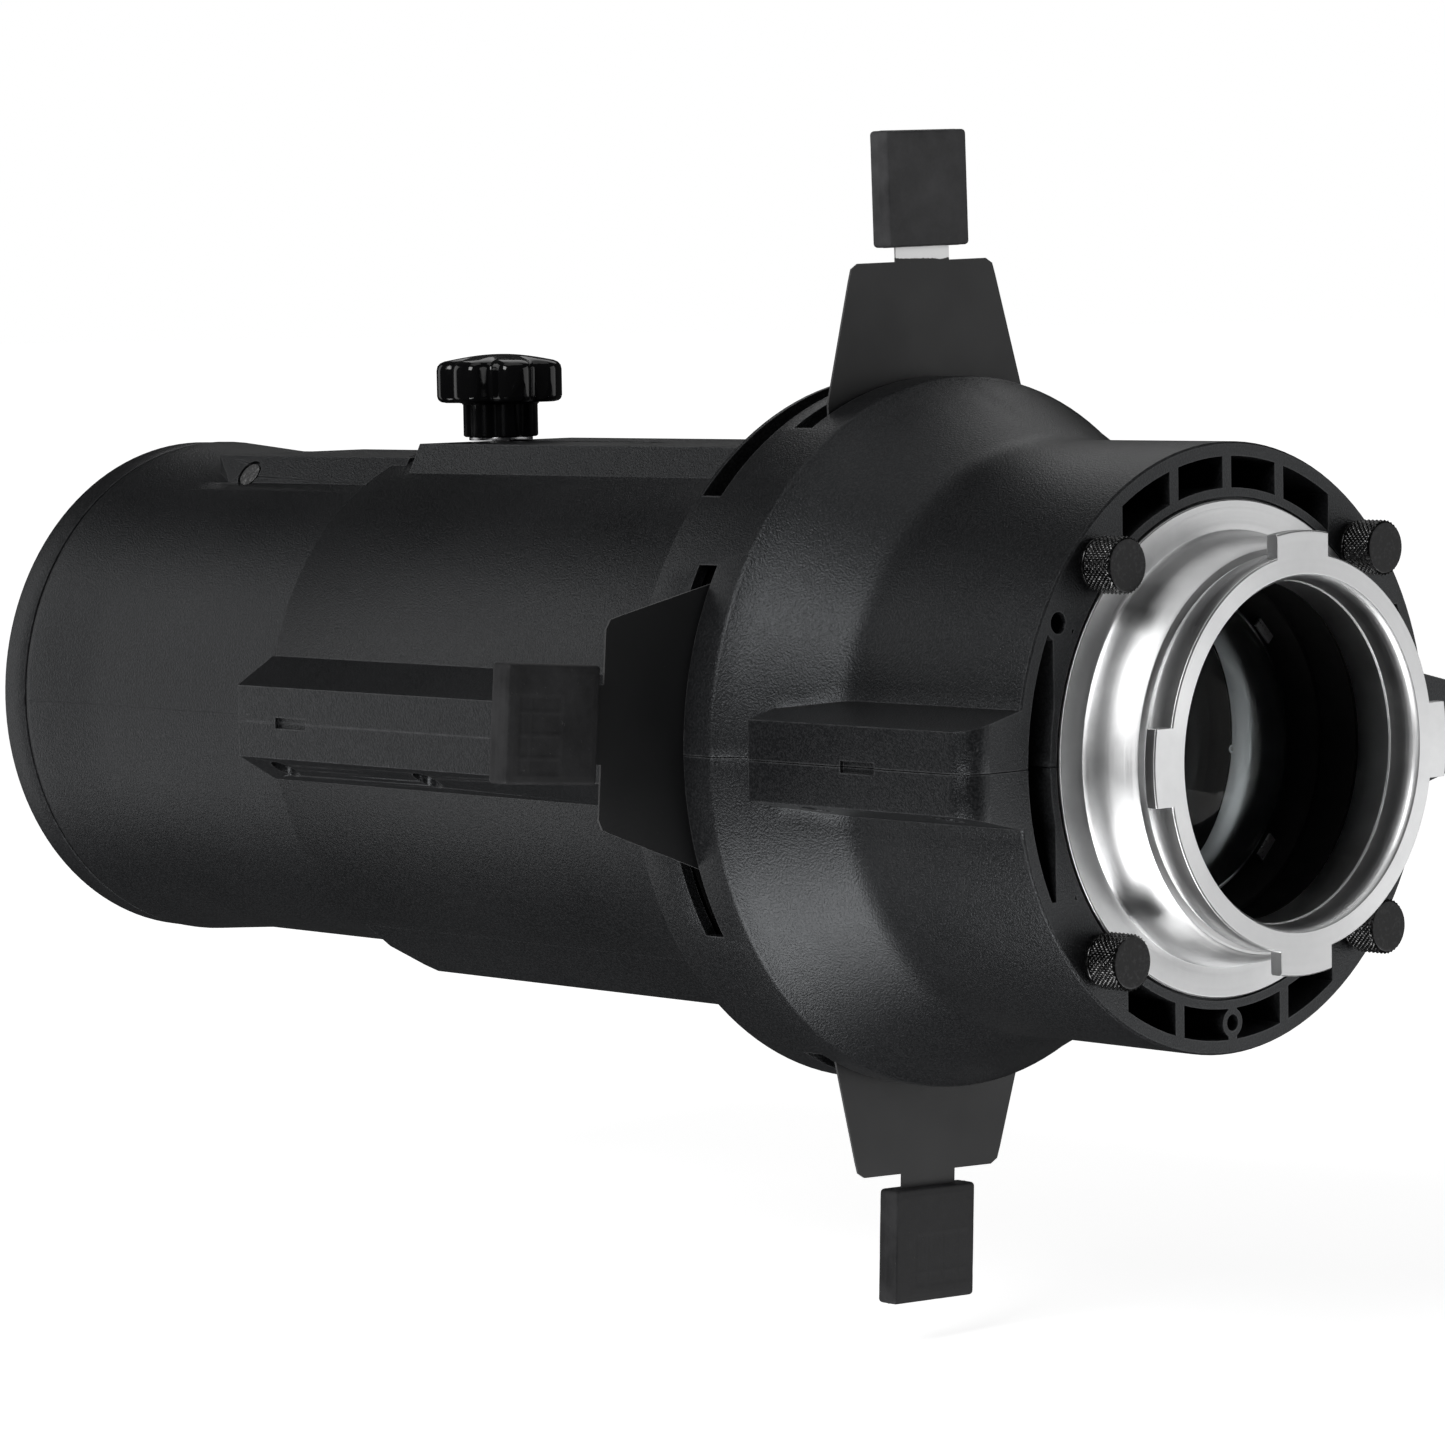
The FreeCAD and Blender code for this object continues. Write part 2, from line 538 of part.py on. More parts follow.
number = 0
for end in (1, -1):
    for side in (1, -1):
        number += 1
        x = side * D["screw_offset"]
        z = end * D["screw_offset"]
        washer = cylinder("washer_%d" % number, "dims.washer_r", "dims.washer_thick", (x, 0.3, z))
        hole = cylinder("washer_hole_%d" % number, "dims.screw_thread_r + dims.running", 10.0, (x, -3.0, z))
        keep("clamp_washer_%d" % number, cut("clamp_washer_shape_%d" % number, washer, [hole]))
        head = turned("thumb_head_%d" % number, [
            (1.4, 0.0), (1.4, 7.6), (2.0, "dims.screw_head_r"), (10.9, "dims.screw_head_r"),
            (11.4, 7.7), (11.4, 0.0),
        ])
        head.Placement.Base = Vector(x, 0, z)
        shank = cylinder("thumb_shank_%d" % number, "dims.screw_thread_r", 15.0, (x, -13.0, z))
        keep("thumb_screw_%d" % number, fuse("thumb_%d" % number, [head, shank]))

keep("light_baffle", turned("baffle_tube", [
    (-26.7, 50.6), (-26.7, 52.3), (3.6, 52.3), (3.6, 50.6),
]))

# ------------------------------------------------------------------- condenser
keep("condenser_holder", turned("condenser_tube", [
    (-78.0, 46.8), (-78.0, 50.3), (-29.6, 50.3), (-29.6, 62.0), (-27.1, 62.0), (-27.1, 50.3), (-9.0, 50.3),
    (-9.0, 49.0), (-11.4, 46.8), (-46.0, 46.8), (-46.0, 44.6), (-48.0, 44.6), (-48.0, 46.8),
]))


def lens(name, flat_y, edge, bulge, radius, direction):
    """Plano-convex lens: flat face at flat_y, straight edge, then a spherical cap towards direction."""
    count = 12
    curve = (radius * radius + bulge * bulge) / (2 * bulge)
    points = [(flat_y, 0.0), (flat_y, radius)]
    start = flat_y + direction * edge
    for index in range(count + 1):
        r = radius * (1 - index / count)
        rise = math.sqrt(curve * curve - r * r) - (curve - bulge)
        points.append((start + direction * rise, r))
    return turned(name, points)


keep("condenser_lens_rear", lens("rear_condenser", -24.0, 4.0, 20.0, D["condenser_r"], 1))
keep("condenser_lens_front", lens("front_condenser", -48.2, 4.0, 20.0, D["condenser_r"], -1))
keep("condenser_spacer", turned("condenser_ring", square_ring((-45.9, -24.1), 44.6, 46.6)))
clips = []
for k, degrees in enumerate((0, 90, 180, 270)):
    clip = box("clip_blank_%d" % k, (-4.0, -15.6, 43.6), (4.0, -14.8, 46.6))
    clips.append(moved("clip_turned_%d" % k, clip, around_y(degrees + 45)))
keep("condenser_clips", compound("clip_set", clips))

# --------------------------------------------------------------- lens carriage
carriage = turned("carriage_tube", [
    (-412.0, "dims.carriage_bore_r"), (-412.0, "dims.carriage_r"), (-288.0, "dims.carriage_r"),
    (-288.0, "dims.carriage_bore_r"), (-372.0, "dims.carriage_bore_r"), (-372.0, 70.0), (-376.0, 70.0),
    (-376.0, "dims.carriage_bore_r"),
])
flat = box("carriage_flat", (-9.2, D["knob_y"] - 9.2, 75.2), (9.2, D["knob_y"] + 9.2, 90.0))
stud_way = cylinder("carriage_hole", 3.6, 20.0, (0, D["knob_y"], 68.0), "z")
keep("lens_carriage", cut("carriage_whole", carriage, [flat, stud_way]))
keep("lens_front", lens("front_lens_glass", -380.2, 4.0, 13.0, D["lens_r"], -1))
keep("lens_rear", lens("rear_lens_glass", -334.2, 4.0, 13.0, D["lens_r"], -1))
for name, y_range, inner_r in (
    ("lens_spacer", (-371.9, -339.4), 70.2),
    ("lens_ring_front", (-379.9, -376.1), 69.6),
    ("lens_ring_rear", (-333.9, -329.0), 69.6),
):
    keep(name, turned(name + "_shape", square_ring(y_range, inner_r, "dims.lens_r")))

nut = box("nut_block", (-9.0, D["knob_y"] - 9.0, 75.4), (9.0, D["knob_y"] + 9.0, 77.2))
nut_hole = cylinder("nut_hole", "dims.stud_r + dims.running", 20.0, (0, D["knob_y"], 70.0), "z")
keep("focus_nut", cut("nut_shape", nut, [nut_hole]))
washer = cylinder("focus_washer_blank", 10.5, 1.0, (0, D["knob_y"], 86.9), "z")
washer_hole = cylinder("focus_washer_hole", "dims.stud_r + dims.running", 20.0, (0, D["knob_y"], 80.0), "z")
keep("focus_washer", cut("focus_washer_shape", washer, [washer_hole]))
keep("focus_stud", cylinder("focus_stud_shape", "dims.stud_r", 24.0, (0, D["knob_y"], 73.5), "z"))

hub = cylinder("knob_hub", "dims.hub_r", 11.4, (0, D["knob_y"], 88.0), "z")
head = cylinder("knob_head", "dims.knob_r", 13.2, (0, D["knob_y"], 99.3), "z")
dome_ball = doc.addObject("Part::Sphere", "knob_ball")
dome_ball.Radius = 89.5
dome_ball.Placement.Base = Vector(0, D["knob_y"], 115.1 - 89.5)
dome_rod = cylinder("knob_dome_rod", 21.0, 8.0, (0, D["knob_y"], 110.0), "z")
dome = common("knob_dome", dome_ball, dome_rod)
flutes = []
for k in range(7):
    angle = math.radians(k * 360 / 7 + 12)
    place = (28.2 * math.cos(angle), D["knob_y"] + 28.2 * math.sin(angle), 98.0)
    flutes.append(cylinder("knob_flute_%d" % k, 9.6, 20.0, place, "z"))
    place = (16.4 * math.cos(angle), D["knob_y"] + 16.4 * math.sin(angle), 87.0)
    flutes.append(cylinder("hub_flute_%d" % k, 5.0, 12.35, place, "z"))
stud_hole = cylinder("knob_stud_hole", "dims.stud_r", 9.5, (0, D["knob_y"], 88.0), "z")
keep("focus_knob", cut("knob_shape", fuse("knob_solid", [hub, head, dome]), flutes + [stud_hole]))

# ---------------------------------------------------------------------- export
doc.recompute()
faults = []
for obj in doc.Objects:
    if "Invalid" in obj.State or "Error" in obj.State:
        faults.append(obj.Name)
for node, obj in nodes.items():
    shape = obj.Shape
    if shape.isNull() or not shape.isValid() or not shape.Solids:
        faults.append(node)
if faults:
    raise RuntimeError("not built: " + ", ".join(faults))
os.makedirs("parts", exist_ok=True)
for node, obj in nodes.items():
    obj.Shape.exportStep(os.path.join("parts", node + ".step"))
    print(node, len(obj.Shape.Solids), round(obj.Shape.Volume / 1000, 2))
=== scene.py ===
"""Looks of the ellipsoidal projection head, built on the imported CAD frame. Lengths are in metres."""

import json
import math

import bmesh
import bpy
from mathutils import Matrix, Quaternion, Vector
from mathutils.noise import noise as noise_value


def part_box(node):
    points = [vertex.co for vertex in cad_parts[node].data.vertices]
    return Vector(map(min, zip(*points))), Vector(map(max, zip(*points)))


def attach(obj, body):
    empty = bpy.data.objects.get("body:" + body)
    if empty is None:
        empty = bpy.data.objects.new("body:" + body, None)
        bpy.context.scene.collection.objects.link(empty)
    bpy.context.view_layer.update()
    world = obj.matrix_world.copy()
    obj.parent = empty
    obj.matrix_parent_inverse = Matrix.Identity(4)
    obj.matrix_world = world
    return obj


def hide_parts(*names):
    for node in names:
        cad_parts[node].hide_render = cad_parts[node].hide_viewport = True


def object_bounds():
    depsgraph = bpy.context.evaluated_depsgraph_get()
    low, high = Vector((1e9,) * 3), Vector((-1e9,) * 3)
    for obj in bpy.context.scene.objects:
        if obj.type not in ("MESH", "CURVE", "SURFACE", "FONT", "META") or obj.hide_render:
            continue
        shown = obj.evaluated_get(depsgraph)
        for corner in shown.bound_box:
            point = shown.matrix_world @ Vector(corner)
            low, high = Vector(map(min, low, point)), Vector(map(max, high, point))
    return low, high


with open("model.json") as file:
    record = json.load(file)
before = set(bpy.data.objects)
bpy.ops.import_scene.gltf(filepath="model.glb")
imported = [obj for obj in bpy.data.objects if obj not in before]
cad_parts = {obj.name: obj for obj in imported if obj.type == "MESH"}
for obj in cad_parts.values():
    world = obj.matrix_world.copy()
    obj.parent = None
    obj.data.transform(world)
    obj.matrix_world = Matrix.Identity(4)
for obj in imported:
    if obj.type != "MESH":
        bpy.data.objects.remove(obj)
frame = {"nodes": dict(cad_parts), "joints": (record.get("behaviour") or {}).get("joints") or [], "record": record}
NODES = frame["nodes"]
cad_box = [list(corner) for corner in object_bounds()]

CAMERA_PLACE = (1.1811, 1.0284, 0.1324)
CAMERA_AZIMUTH, CAMERA_ELEVATION, CAMERA_ROLL = 136.716, 4.4565, 1.019
CAMERA_LENS, CAMERA_SENSOR = 135.97, 36.0
FLOOR_GAP = 0.012


# ------------------------------------------------------------------ materials
def material(name, colour=None, roughness=None, metallic=0.0, specular=0.5):
    """A Principled material and its shader node; an input that gets a link needs no value."""
    made = bpy.data.materials.new(name)
    made.use_nodes = True
    shader = made.node_tree.nodes["Principled BSDF"]
    if colour is not None:
        shader.inputs["Base Color"].default_value = (*colour, 1.0)
    if roughness is not None:
        shader.inputs["Roughness"].default_value = roughness
    shader.inputs["Metallic"].default_value = metallic
    shader.inputs["Specular IOR Level"].default_value = specular
    return made, shader


def add(made, kind, **settings):
    """A new node with its settings and input values."""
    node = made.node_tree.nodes.new(kind)
    for key, value in settings.items():
        if key in node.inputs:
            node.inputs[key].default_value = value
        else:
            setattr(node, key, value)
    return node


def link(made, source, target):
    made.node_tree.links.new(source, target)


def place_of(made):
    """The surface's place in the row frame."""
    return add(made, "ShaderNodeTexCoord").outputs["Object"]


def noise(made, scale, detail=3.0, roughness=0.5, where=None):
    """Noise of a size given by scale, from 0 to 1."""
    node = add(made, "ShaderNodeTexNoise", Scale=scale, Detail=detail, Roughness=roughness)
    link(made, where or place_of(made), node.inputs["Vector"])
    return node.outputs["Fac"]


def remap(made, value, low, high, to_low=0.0, to_high=1.0):
    """A value carried from one range to another, and held at its ends."""
    node = add(made, "ShaderNodeMapRange")
    for key, number in (("From Min", low), ("From Max", high), ("To Min", to_low), ("To Max", to_high)):
        node.inputs[key].default_value = number
    link(made, value, node.inputs["Value"])
    return node.outputs["Result"]


def mixed(made, factor, first, second):
    """A colour between two colours or colour outputs."""
    node = add(made, "ShaderNodeMix", data_type="RGBA")
    link(made, factor, node.inputs[0])
    for socket, colour in ((node.inputs[6], first), (node.inputs[7], second)):
        if isinstance(colour, tuple):
            socket.default_value = (*colour, 1.0)
        else:
            link(made, colour, socket)
    return node.outputs[2]


def joined(made, first, second, how="ADD"):
    """The sum of two numbers or outputs, or what another operation makes of them."""
    node = add(made, "ShaderNodeMath", operation=how)
    for socket, value in ((node.inputs[0], first), (node.inputs[1], second)):
        if isinstance(value, float):
            socket.default_value = value
        else:
            link(made, value, socket)
    return node.outputs[0]


def squared(made, value):
    return joined(made, value, value, "MULTIPLY")


def split(made, vector):
    """The X, Y and Z outputs of a vector."""
    parts = add(made, "ShaderNodeSeparateXYZ")
    link(made, vector, parts.inputs[0])
    return parts.outputs


def facing(made, axis):
    """How squarely the surface faces an axis, either way round, from 0 to 1."""
    normal = add(made, "ShaderNodeTexCoord").outputs["Normal"]
    return squared(made, split(made, normal)[axis])


def bump(made, shader, heights, distance, strength=1.0):
    """Raises the surface by a height map."""
    node = add(made, "ShaderNodeBump", Strength=strength, Distance=distance)
    link(made, heights, node.inputs["Height"])
    link(made, node.outputs["Normal"], shader.inputs["Normal"])


SEAM_HALF = 0.0012
BARREL_REACH = 0.0865
BARREL_FADE = 0.001


def worn_and_highlit_edges(made, width, wear_scale):
    """1 on sharp edges, broken up by noise, and 0 on flat faces and on the barrel's level seam: a mask for rubbed
    wear that also paints edge highlights.
    """
    rounded = add(made, "ShaderNodeBevel", Radius=width)
    geometry = add(made, "ShaderNodeNewGeometry")
    turn = add(made, "ShaderNodeVectorMath", operation="DOT_PRODUCT")
    link(made, rounded.outputs[0], turn.inputs[0])
    link(made, geometry.outputs["Normal"], turn.inputs[1])
    edge = remap(made, turn.outputs["Value"], 0.90, 0.985, 1.0, 0.0)
    broken = remap(made, noise(made, wear_scale, 3.0, 0.6), 0.32, 0.62, 0.25, 1.0)
    place = split(made, place_of(made))
    height = joined(made, place["Z"], 0.0, "ABSOLUTE")
    reach = joined(made, place["X"], 0.0, "ABSOLUTE")
    off_seam = remap(made, height, SEAM_HALF, 2 * SEAM_HALF)
    beyond = remap(made, reach, BARREL_REACH, BARREL_REACH + BARREL_FADE)
    kept = joined(made, off_seam, beyond, "MAXIMUM")
    return joined(made, joined(made, edge, broken, "MULTIPLY"), kept, "MULTIPLY")


def moulded_plastic():
    """Matte black housing plastic with a fine eroded grain, sharp edges painted lighter as rubbed wear and as
    painted edge highlights, and a few pale dust marks.
    """
    made, shader = material("moulded_plastic", specular=0.42)
    shader.inputs["Specular Tint"].default_value = (0.93, 0.965, 1.0, 1.0)
    deep, dark, crest = (0.0075, 0.0079, 0.0086), (0.0105, 0.0109, 0.0118), (0.027, 0.0275, 0.029)
    # rubbed_grey colours the sharp edges: partly rubbed wear, partly a painted edge highlight.
    dust_grey, rubbed_grey = (0.05, 0.05, 0.052), (0.085, 0.086, 0.089)
    grain = noise(made, 1500.0, 2.0, 0.65)
    cloud = noise(made, 22.0, 4.0, 0.55)
    dust = remap(made, noise(made, 420.0, 2.0, 0.5), 0.74, 0.80)
    tone = mixed(made, remap(made, cloud, 0.3, 0.7), deep, dark)
    pitted = mixed(made, remap(made, grain, 0.42, 0.66), tone, crest)
    dusty = mixed(made, dust, pitted, dust_grey)
    # Sharp edges painted lighter: rubbed wear and a painted edge highlight.
    rubbed = mixed(made, worn_and_highlit_edges(made, 0.0008, 160.0), dusty, rubbed_grey)
    link(made, rubbed, shader.inputs["Base Color"])
    link(made, remap(made, cloud, 0.3, 0.7, 0.28, 0.36), shader.inputs["Roughness"])
    bump(made, shader, grain, 0.0002)
    return made


TOP_BLADE_END = 0.1428
CHIP_START, CHIP_END = TOP_BLADE_END + 0.0009, TOP_BLADE_END + 0.0011
CHIP_RAGGED = 0.0016


def blade_paint():
    """Satin black paint on sheet steel, rubbed on its thin edges and chipped off the top blade's neck."""
    made, shader = material("blade_paint", specular=0.45)
    paint_black, spot_grey = (0.017, 0.0175, 0.0185), (0.05, 0.05, 0.052)
    rubbed_grey, bare_steel = (0.075, 0.075, 0.077), (0.86, 0.86, 0.86)
    edge = remap(made, facing(made, "Y"), 0.3, 0.7, 1.0, 0.0)
    ragged = joined(made, noise(made, 380.0, 4.0, 0.7), CHIP_RAGGED, "MULTIPLY")
    height = split(made, place_of(made))["Z"]
    neck = remap(made, joined(made, height, ragged), CHIP_START, CHIP_END)
    spots = remap(made, noise(made, 900.0, 3.0, 0.6), 0.72, 0.80)
    paint = mixed(made, spots, paint_black, spot_grey)
    rubbed = mixed(made, edge, paint, rubbed_grey)
    link(made, mixed(made, neck, rubbed, bare_steel), shader.inputs["Base Color"])
    link(made, neck, shader.inputs["Metallic"])
    link(made, remap(made, noise(made, 35.0), 0.3, 0.7, 0.40, 0.52), shader.inputs["Roughness"])
    bump(made, shader, noise(made, 1100.0, 2.0), 0.00006, 0.4)
    return made


UPPER_GRIP_START, UPPER_GRIP_FULL = 0.10, 0.14


def grip_rubber():
    """Dull soft plastic with small nicks and rubbed grey faces, paler on the upper grip."""
    made, shader = material("grip_rubber", specular=0.35)
    smear = noise(made, 70.0, 5.0, 0.65)
    nicks = remap(made, noise(made, 520.0, 3.0, 0.7), 0.68, 0.76)
    upper = remap(made, split(made, place_of(made))["Z"], UPPER_GRIP_START, UPPER_GRIP_FULL)
    dark_rub = mixed(made, upper, (0.012, 0.012, 0.013), (0.036, 0.036, 0.038))
    light_rub = mixed(made, upper, (0.040, 0.040, 0.042), (0.085, 0.085, 0.088))
    tone = mixed(made, remap(made, smear, 0.35, 0.7), dark_rub, light_rub)
    link(made, mixed(made, nicks, tone, (0.07, 0.07, 0.07)), shader.inputs["Base Color"])
    link(made, remap(made, smear, 0.3, 0.7, 0.52, 0.75), shader.inputs["Roughness"])
    bump(made, shader, joined(made, noise(made, 260.0, 6.0, 0.7), nicks), 0.00025, 0.5)
    return made


def gloss_plastic():
    """Polished black knob with faint ripples and dust."""
    made, shader = material("gloss_plastic", (0.004, 0.004, 0.0045), specular=0.6)
    link(made, remap(made, noise(made, 300.0, 4.0, 0.6), 0.4, 0.8, 0.08, 0.2), shader.inputs["Roughness"])
    bump(made, shader, noise(made, 90.0, 2.0), 0.0002, 0.08)
    return made


def black_oxide():
    """Blackened steel of the screws: bright crests on the knurl, a duller flat end."""
    made, shader = material("black_oxide", metallic=0.9)
    flat_end = remap(made, facing(made, "Y"), 0.7, 0.9)
    rub = remap(made, noise(made, 900.0, 4.0, 0.6), 0.5, 0.72)
    crest = mixed(made, rub, (0.03, 0.03, 0.0305), (0.22, 0.22, 0.22))
    end = mixed(made, rub, (0.028, 0.028, 0.0285), (0.048, 0.048, 0.049))
    link(made, mixed(made, flat_end, crest, end), shader.inputs["Base Color"])
    rubbed_roughness = remap(made, rub, 0.0, 1.0, 0.14, 0.26)
    end_roughness = remap(made, flat_end, 0.0, 1.0, 0.0, 0.18)
    link(made, joined(made, rubbed_roughness, end_roughness), shader.inputs["Roughness"])
    bump(made, shader, noise(made, 1800.0, 2.0), 0.00004, 0.4)
    return made


def turned_aluminium():
    """Bright turned aluminium: fine grooves run round the axis, with soft clouding and scratches."""
    made, shader = material("turned_aluminium", metallic=1.0)
    place = split(made, place_of(made))
    radius = joined(made, joined(made, squared(made, place["X"]), squared(made, place["Z"])), 0.5, "POWER")
    grooves = add(made, "ShaderNodeCombineXYZ")
    link(made, radius, grooves.inputs["X"])
    link(made, place["Y"], grooves.inputs["Y"])
    lines = noise(made, 2600.0, 2.0, 0.6, grooves.outputs[0])
    cloud = noise(made, 38.0, 5.0, 0.6)
    clouded_roughness = remap(made, cloud, 0.3, 0.72, 0.33, 0.43)
    groove_roughness = remap(made, lines, 0.3, 0.7, -0.05, 0.07)
    link(made, joined(made, clouded_roughness, groove_roughness), shader.inputs["Roughness"])
    tint = remap(made, cloud, 0.3, 0.7)
    link(made, mixed(made, tint, (0.74, 0.745, 0.75), (0.90, 0.903, 0.906)), shader.inputs["Base Color"])
    around = add(made, "ShaderNodeTangent", direction_type="RADIAL", axis="Y")
    link(made, around.outputs["Tangent"], shader.inputs["Tangent"])
    shader.inputs["Anisotropic"].default_value = 0.7
    bump(made, shader, lines, 0.00006, 0.35)
    return made


def flat_black():
    """Heat-proof flat black of the inner parts."""
    made, shader = material("flat_black", (0.006, 0.006, 0.0062), specular=0.25)
    link(made, remap(made, noise(made, 120.0, 4.0), 0.3, 0.7, 0.65, 0.85), shader.inputs["Roughness"])
    bump(made, shader, noise(made, 1300.0, 3.0), 0.0001, 0.5)
    return made


def lens_glass():
    """Polished, coated optical glass with a trace of dust; a low index stands for the coating."""
    made, shader = material("lens_glass", (0.96, 0.98, 0.985), specular=0.2)
    shader.inputs["Transmission Weight"].default_value = 1.0
    shader.inputs["IOR"].default_value = 1.18
    dust = remap(made, noise(made, 700.0, 3.0, 0.6), 0.72, 0.82, 0.0, 0.25)
    link(made, dust, shader.inputs["Roughness"])
    return made


def plain_steel():
    """Plain drawn steel with soft brushing."""
    made, shader = material("plain_steel", (0.55, 0.55, 0.56), metallic=1.0)
    link(made, remap(made, noise(made, 800.0, 3.0), 0.3, 0.7, 0.25, 0.42), shader.inputs["Roughness"])
    bump(made, shader, noise(made, 1500.0, 2.0), 0.00004, 0.3)
    return made


def nut_brass():
    """Machined brass, slightly dulled."""
    made, shader = material("nut_brass", (0.72, 0.55, 0.27), metallic=1.0)
    link(made, remap(made, noise(made, 400.0, 3.0), 0.3, 0.7, 0.26, 0.45), shader.inputs["Roughness"])
    bump(made, shader, noise(made, 1500.0, 2.0), 0.00004, 0.3)
    return made


FINISH = {
    "housing_black": moulded_plastic(),
    "blade_black": blade_paint(),
    "grip_black": grip_rubber(),
    "knob_black": gloss_plastic(),
    "screw_black": black_oxide(),
    "ring_aluminium": turned_aluminium(),
    "inner_black": flat_black(),
    "glass": lens_glass(),
    "steel": plain_steel(),
    "brass": nut_brass(),
}
SLOT_OF = {entry["node"]: entry["material_slot"] for entry in frame["record"]["subparts"]}
BEVEL = {"housing_black": 0.00035, "ring_aluminium": 0.0003, "screw_black": 0.0003, "steel": 0.0001}
BEVEL_SEGMENTS = 2
BEVEL_ANGLE = math.radians(32)
SHARP_NODES = ("tube_upper", "tube_lower")
WELD_REACH = 0.000004


def soften(obj, width):
    """Welds the imported faces and rounds the sharp edges."""
    weld = obj.modifiers.new("weld", "WELD")
    weld.merge_threshold = WELD_REACH
    if width:
        bevel = obj.modifiers.new("bevel", "BEVEL")
        bevel.width = width
        bevel.segments = BEVEL_SEGMENTS
        bevel.limit_method = "ANGLE"
        bevel.angle_limit = BEVEL_ANGLE


def dress_cad_nodes():
    """Gives every CAD node its finish."""
    for name, obj in NODES.items():
        obj.data.materials.clear()
        obj.data.materials.append(FINISH[SLOT_OF[name]])
        for face in obj.data.polygons:
            face.material_index = 0


def soften_cad_nodes():
    """Softens the CAD nodes that stay in sight once the built pieces are made."""
    for name, obj in NODES.items():
        if not obj.hide_render:
            soften(obj, 0.0 if name in SHARP_NODES else BEVEL.get(SLOT_OF[name], 0.0))


dress_cad_nodes()


# ------------------------------------------------------------- built pieces
def new_piece(name, mesh_maker, slot_name, body, node):
    """A mesh piece with its finish, its body and the CAD node it stands for."""
    mesh = bpy.data.meshes.new(name)
    work = bmesh.new()
    mesh_maker(work)
    bmesh.ops.recalc_face_normals(work, faces=work.faces)
    work.to_mesh(mesh)
    work.free()
    for face in mesh.polygons:
        face.use_smooth = True
    obj = bpy.data.objects.new(name, mesh)
    bpy.context.scene.collection.objects.link(obj)
    mesh.materials.append(FINISH[slot_name])
    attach(obj, body)
    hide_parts(node)


def skin_rings(work, rings):
    """Joins rings of points, each a list of the same length, into a tube with closed ends."""
    rows = [[work.verts.new(point) for point in ring] for ring in rings]
    count = len(rows[0])
    for first, second in zip(rows, rows[1:]):
        for index in range(count):
            after = (index + 1) % count
            work.faces.new((first[index], first[after], second[after], second[index]))
    work.faces.new(rows[0])
    work.faces.new(list(reversed(rows[-1])))


HEAD_RADIUS, HEAD_LENGTH = 0.0082, 0.010
SHANK_RADIUS, SHANK_GAP = 0.0020, 0.0001
KNURL_TURNS = 34
KNURL_DEPTH = 0.00042
KNURL_CREST = 1.25      # over 1, so each diamond has a small flat top
KNURL_START, KNURL_LENGTH = 0.0008, 0.0084
KNURL_STEPS = 40
AROUND = KNURL_TURNS * 6
# way along from the head's front, and radius
FRONT_CHAMFER = ((-0.0001, 0.0074), (0.0006, HEAD_RADIUS - 0.0004))
# way in from the head's back, and how far under the head's radius
BACK_CHAMFER = ((0.0006, 0.0004), (0.00015, 0.0007), (0.0, 0.00095), (0.0, 0.0016))
CENTRE_RADIUS = 0.0004


def triangle_wave(value):
    """1 at whole numbers, 0 half way between them."""
    return 2 * abs(value - math.floor(value) - 0.5)


def knurled_screw(low, high):
    """Head with diamond knurl and flat chamfered ends, and its plain shank, along Y."""
    centre_x = (low[0] + high[0]) / 2
    centre_z = (low[2] + high[2]) / 2
    back = high[1]
    front = back - HEAD_LENGTH
    pitch = 2 * math.pi * HEAD_RADIUS / KNURL_TURNS

    def ring(y, radius, depth=0.0):
        points = []
        for index in range(AROUND):
            turn = index / AROUND
            height = 1.0
            if depth:
                right = triangle_wave(turn * KNURL_TURNS + (y - front) / pitch)
                left = triangle_wave(turn * KNURL_TURNS - (y - front) / pitch)
                height = min(1.0, KNURL_CREST * min(right, left))
            reach = radius - depth * (1 - height)
            angle = 2 * math.pi * turn
            points.append((centre_x + reach * math.cos(angle), y, centre_z + reach * math.sin(angle)))
        return points

    def maker(work):
        rings = [ring(low[1], SHANK_RADIUS), ring(front - SHANK_GAP, SHANK_RADIUS)]
        rings += [ring(front + along, radius) for along, radius in FRONT_CHAMFER]
        for step in range(KNURL_STEPS + 1):
            y = front + KNURL_START + (KNURL_LENGTH * step / KNURL_STEPS)
            rings.append(ring(y, HEAD_RADIUS, KNURL_DEPTH))
        rings += [ring(back - inward, HEAD_RADIUS - drop) for inward, drop in BACK_CHAMFER]
        rings.append(ring(back, CENTRE_RADIUS))
        skin_rings(work, rings)

    return maker


def make_thumb_screws():
    for number in (1, 2, 3, 4):
        node = "thumb_screw_%d" % number
        low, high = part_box(node)
        new_piece("knurled_" + node, knurled_screw(low, high), "screw_black", "screw_%d" % number, node)


LOBES = 7
LOBE_POINTS = 24
FIRST_ANGLE, VALLEY_ANGLE = 0.62, 0.21
VALLEY_SHARPNESS = 2.6
HUB_RADIUS = 0.0125
HEAD_FLOOR, HEAD_SHOULDER = 0.0113, 0.0245      # the head's lower face and top edge, over the knob's base
DOME_STEPS = 8
# each row: height over its level, inset, and depth of the valleys between the lobes
HUB_FOOT = ((0.0, 0.0006, 0.0016), (0.0005, 0.0, 0.0017))
HUB_NECK = ((-0.0008, 0.0, 0.0017), (-0.0001, -0.0006, 0.0012))
LOWER_EDGE = ((0.0, 0.0028, 0.0040), (0.0003, 0.0013, 0.0041), (0.0010, 0.0004, 0.0042),
              (0.0022, 0.0, 0.0042))
UPPER_EDGE = ((-0.0026, 0.0, 0.0042), (-0.0012, 0.0003, 0.0042), (-0.0002, 0.0012, 0.0041),
              (0.0004, 0.0026, 0.0037))


